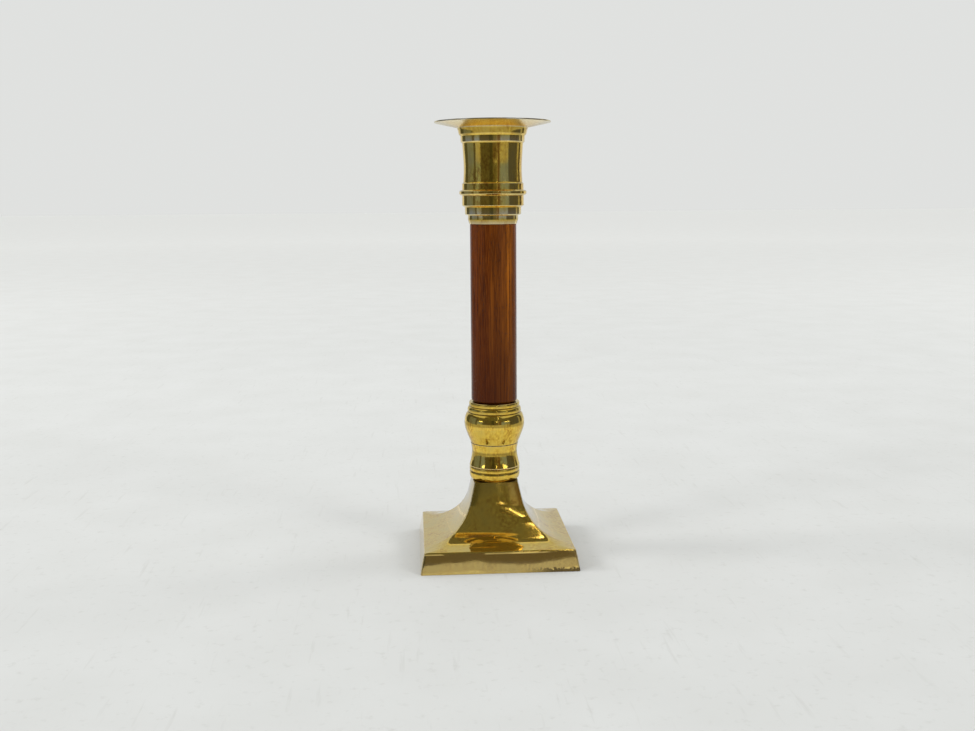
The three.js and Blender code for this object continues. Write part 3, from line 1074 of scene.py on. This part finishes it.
def card(name, vertices, faces, material):
    """Studio card that only shows in reflections."""
    mesh = bpy.data.meshes.new(name)
    mesh.from_pydata([tuple(v) for v in vertices], [], faces)
    mesh.materials.append(material)
    made = bpy.data.objects.new(name, mesh)
    bpy.context.scene.collection.objects.link(made)
    made.visible_camera = False
    made.visible_diffuse = False
    made.visible_shadow = False
    made.visible_transmission = False


# The reflected room: distances and heights in metres, and azimuths in degrees
ROOM_LEFT = -136
ROOM_RIGHT = 130
ROOM_RADIUS = 0.73
ROOM_SILL = 0.045
ROOM_HEIGHT = 2.3
ROOM_LENGTH = 5.0
DOORWAY_BOTTOM = 0.15
WALL_TOP = 0.34
PALE_FROM = 0.62
WINDOW_SILL = 1.0
PANEL_STEP = 4

WALL_DARK = (0.10, 0.098, 0.09)
WALL_SHADE = (0.135, 0.135, 0.108)
WALL_COOL = (0.24, 0.305, 0.56)
WALL_PALE = (0.62, 0.63, 0.62)
DAYLIGHT = (1, 1, 0.97)
DAYLIGHT_STRENGTH = 3


def spot(azimuth, distance, height):
    """Point of the room at a height."""
    place = direction(azimuth, 0, distance)
    return (place.x, place.y, height)


def strip(name, start, end, first_edge, second_edge, material):
    """Curved card from azimuth start to end, between two edges given as (distance, height)."""
    steps = max(2, round((end - start) / PANEL_STEP))
    vertices = []
    for i in range(steps + 1):
        azimuth = start + (end - start) * i / steps
        vertices += [spot(azimuth, *first_edge), spot(azimuth, *second_edge)]
    card(name, vertices, [(2 * i, 2 * i + 2, 2 * i + 3, 2 * i + 1) for i in range(steps)], material)


def wall_panel(name, start, end, bottom, top, colour, distance=ROOM_RADIUS, strength=1.0):
    """Upright card from azimuth start to end."""
    strip(name, start, end, (distance, bottom), (distance, top), glow(name, colour, strength))


def make_room():
    """Dark room around the table, as the brass reflects it."""
    make_near_walls()
    make_upper_walls()
    make_far_end()
    wall_panel("sweep_upper", ROOM_RIGHT, ROOM_LEFT + 360, 0.32, ROOM_HEIGHT, (0.57, 0.615, 0.69), 1.9)
    wall_panel("sweep_lower", ROOM_RIGHT, ROOM_LEFT + 360, 0.0, 0.155, (0.60, 0.64, 0.69), 0.9)
    make_ceiling()
    make_ceiling_tubes()
    make_table_shade()


def make_near_walls():
    """Wall panels beside the table, in the order of their azimuths, and the wall around the doorway."""
    for name, start, end, bottom, colour in [
        ("room_left_far", ROOM_LEFT, -112, 0, (0.09, 0.10, 0.095)),
        ("room_left_grey", -112, -78, 0, (0.19, 0.24, 0.44)),
        ("room_left_gap", -78, -69, 0, WALL_DARK),
        ("room_front_left", -48, -12, ROOM_SILL, WALL_DARK),
        ("room_front_dark", -12, 0, ROOM_SILL, (0.062, 0.066, 0.056)),
        ("room_front_line", 14, 17, ROOM_SILL, (0.30, 0.29, 0.32)),
        ("room_front_right", 17, 27, ROOM_SILL, (0.14, 0.10, 0.07)),
        ("room_right_dark", 62, 108, 0, (0.10, 0.105, 0.15)),
        ("room_right_strip", 108, 117, 0, (0.40, 0.40, 0.38)),
        ("room_right_far", 117, ROOM_RIGHT, 0, WALL_DARK),
    ]:
        wall_panel(name, start, end, bottom, WALL_TOP, colour)
    wall_panel("room_front_brown", 0, 14, ROOM_SILL, DOORWAY_BOTTOM, (0.13, 0.11, 0.085))
    wall_panel("room_beside_doorway", 0, 5, DOORWAY_BOTTOM, WALL_TOP, WALL_SHADE)


def make_upper_walls():
    """Shaded walls in front, dark ones beside the table, and pale ones above those."""
    wall_panel("room_upper_front_left", -47, 5, WALL_TOP, ROOM_HEIGHT, WALL_SHADE)
    wall_panel("room_upper_front_right", 23, 37, WALL_TOP, ROOM_HEIGHT, WALL_SHADE)
    wall_panel("room_upper_left", ROOM_LEFT, -69, WALL_TOP, PALE_FROM, WALL_DARK)
    wall_panel("room_upper_right", 62, ROOM_RIGHT, WALL_TOP, PALE_FROM, WALL_DARK)
    wall_panel("room_pale_left", ROOM_LEFT, -47, PALE_FROM, ROOM_HEIGHT, WALL_PALE)
    wall_panel("room_pale_right", 37, ROOM_RIGHT, PALE_FROM, ROOM_HEIGHT, WALL_PALE)


def make_far_end():
    """The table's far edge, cool walls behind it, the end of the room and two windows in it."""
    wall_panel("table_end", -48, 27, 0.0, ROOM_SILL, (0.50, 0.51, 0.56), ROOM_RADIUS + 0.01)
    wall_panel("far_left", -75, -42, 0.0, WINDOW_SILL, WALL_COOL, ROOM_LENGTH)
    wall_panel("far_right", 20, 70, 0.0, WINDOW_SILL, WALL_COOL, ROOM_LENGTH)
    wall_panel("far_end", -75, 75, 0.0, ROOM_HEIGHT, WALL_SHADE, ROOM_LENGTH + 0.2)
    wall_panel("window_left", -61, -43, WINDOW_SILL, 1.2, DAYLIGHT, ROOM_LENGTH, DAYLIGHT_STRENGTH)
    wall_panel("window_right", 40, 61, WINDOW_SILL, 1.15, DAYLIGHT, ROOM_LENGTH, DAYLIGHT_STRENGTH)


def make_ceiling():
    """Ceiling from above the table to beyond the far end."""
    near = 2.3
    far = 9
    corners = [(ROOM_LEFT, near), (-80, far), (-45, far), (45, far), (80, far), (ROOM_RIGHT, near)]
    vertices = [spot(azimuth, distance, ROOM_HEIGHT) for azimuth, distance in corners]
    card("room_ceiling", vertices, [tuple(range(len(vertices)))], glow("room_ceiling", WALL_SHADE, 1))


def make_ceiling_tubes():
    """Row of thin lamp tubes, from far in front to above the candlestick. The foot reflects the far ones
    through a doorway in the wall."""
    height = 0.9
    slope = -0.12
    around = Matrix.Rotation(math.radians(CAMERA_SIDE_TURN), 3, "Z")
    material = glow("lamp_tube", (1.0, 0.97, 0.90), 8)
    # Each one's rise from start to end in degrees, its distance to the side and its half width
    tubes = [(13.2, 19.2, 0.168, 0.0024), (27.5, 53, 0.168, 0.0024), (69, 111, 0.147, 0.003)]
    for number, (start, end, side, half_size) in enumerate(tubes, 1):
        far, near = [-height / math.tan(math.radians(rise)) for rise in (start, end)]
        half_width = half_size / math.sin(math.radians((start + end) / 2))
        vertices = []
        for y, edge in [(far, -1), (far, 1), (near, 1), (near, -1)]:
            vertices.append(around @ Vector((side + slope * y + edge * half_width, y, height)))
        card("lamp_tube_" + str(number), vertices, [(0, 1, 2, 3)], material)


def make_table_shade():
    """The table is less lit further out and behind, as the brass reflects it: two cards just above the
    floor, of which the one in front fades with the distance."""
    above_floor = 0.0006
    material, tree, shader = new_material("table_shade")
    fade = span(tree, place_and_distance(tree)[1], 0.17, 0.30, 0.78, 0.44)
    fill(tree, shader, {"Base Color": (0, 0, 0, 1), "Specular IOR Level": 0})
    fill(tree, shader, {"Emission Color": (0.97, 0.98, 1.0, 1), "Emission Strength": fade})
    strip("table_shade", ROOM_LEFT, ROOM_RIGHT, (ROOM_LENGTH, above_floor), (0.11, above_floor), material)
    dim = glow("back_shade", (0.60, 0.64, 0.68), 1)
    strip("back_shade", ROOM_RIGHT, ROOM_LEFT + 360, (0.42, above_floor), (0.08, above_floor), dim)


def place_and_distance(tree):
    """Place in metres, and its distance from the middle of the foot."""
    place = node(tree, "TexCoord").outputs["Object"]
    return place, node(tree, "VectorMath", {0: place}, operation="LENGTH").outputs["Value"]


def paper_material():
    """Pale paper with faint stains, specks and scuffs. It glows a little towards the back and further out,
    where a studio sweep would catch more light."""
    material, tree, shader = new_material("pale_paper")
    clouds = speckle(tree, (0.02, 0.02, 0.02), 4)
    specks = speckle(tree, (0.22, 0.22, 0.22), 4, 0.6, 3.0)
    scuffs = speckle(tree, (0.25, 0.02, 0.1), 3, 0.6, 6.0)
    colour = blend(tree, span(tree, clouds, 0.3, 0.7), PAPER, PAPER_PALE)
    colour = blend(tree, span(tree, specks, 0.58, 0.74, 0, 0.5), colour, PAPER_MARK)
    colour = blend(tree, span(tree, scuffs, 0.62, 0.74, 0, 0.4), colour, PAPER_MARK)
    place, distance = place_and_distance(tree)
    back = node(tree, "SeparateXYZ", {"Vector": place}).outputs["Y"]
    glow_near = span(tree, back, -0.4, 0.5, 0.0, 0.098)
    glow_middle = span(tree, distance, 0.7, 1.5, 0.0, 0.072)
    glow_far = span(tree, distance, 1.5, 4.0, 0.0, 0.113)
    strength = plus(tree, glow_near, plus(tree, glow_middle, glow_far))
    fill(tree, shader, {"Base Color": colour, "Roughness": 0.9, "Specular IOR Level": 0.1})
    fill(tree, shader, {"Emission Color": (1.0, 1.0, 0.98, 1), "Emission Strength": strength})
    return material


def make_floor():
    """Big sheet of pale paper."""
    half_size = 12
    mesh = bmesh.new()
    bmesh.ops.create_grid(mesh, x_segments=8, y_segments=8, size=half_size)
    data = bpy.data.meshes.new("floor")
    mesh.to_mesh(data)
    mesh.free()
    data.materials.append(paper_material())
    floor = bpy.data.objects.new("floor", data)
    bpy.context.scene.collection.objects.link(floor)


def area_light(name, azimuth, elevation, watts, distance=3.0, size=0.7):
    """Square lamp aimed at the candlestick. It doesn't show in reflections: the cards do."""
    data = bpy.data.lights.new(name, "AREA")
    data.size = size
    data.energy = watts
    lamp = bpy.data.objects.new(name, data)
    lamp.location = direction(azimuth, elevation, distance)
    lamp.rotation_euler = (-lamp.location).to_track_quat("-Z", "Y").to_euler()
    lamp.visible_glossy = False
    bpy.context.scene.collection.objects.link(lamp)


LAMP_ELEVATION = 32


def make_lights():
    """Four soft lamps, which give the four faint shadows on the table, and pale surroundings."""
    area_light("lamp_left", -90, LAMP_ELEVATION, 23)
    area_light("lamp_front_left", -56, LAMP_ELEVATION, 16)
    area_light("lamp_front_right", 54, LAMP_ELEVATION, 16)
    area_light("lamp_back_right", 112, LAMP_ELEVATION, 12)
    world = bpy.data.worlds.new("pale_surroundings")
    world.use_nodes = True
    background = world.node_tree.nodes["Background"]
    fill(world.node_tree, background, {"Color": (0.745, 0.754, 0.741, 1), "Strength": 1})
    bpy.context.scene.world = world


# ---- assembly

make_camera()
make_floor()
make_lights()
make_room()
bpy.context.scene.view_settings.view_transform = "Standard"

foot = make_foot()
turned_brass = [
    make_foot_collar(),
    make_lower_knop(),
    make_upper_knop(),
    make_column_cap(),
    make_capital(),
    make_candle_socket(),
]
pan = make_drip_pan()
column = make_wood_column()
fasteners = [make_tie_rod(), make_foot_washer(), make_lock_washer(), make_foot_nut()]

foot.data.materials.append(brass_material(
    "polished_cast_brass", seed=11.0, clean=CAST_BRASS, coat=0.35, smoothest=0.03, roughest=0.07,
    tarnish_amount=0.65, ripple=None,
))
foot.data.materials.append(raw_cast_material())
for polygon in foot.data.polygons[foot["outer_faces"]:]:
    polygon.material_index = 1
turned_finish = brass_material(
    "polished_turned_brass", seed=23.0, clean=TURNED_BRASS, coat=0.05, smoothest=0.06, roughest=0.13,
    tarnish_amount=0.85, ripple=0.045,
)
for piece in turned_brass:
    piece.data.materials.append(turned_finish)
pan.data.materials.append(brass_material(
    "spun_brass", seed=31.0, clean=SPUN_BRASS, coat=0.0, smoothest=0.15, roughest=0.22,
    tarnish_amount=0.7, ripple=0.004,
))
column.data.materials.append(wood_material())
zinc = steel_material()
for piece in fasteners:
    piece.data.materials.append(zinc)
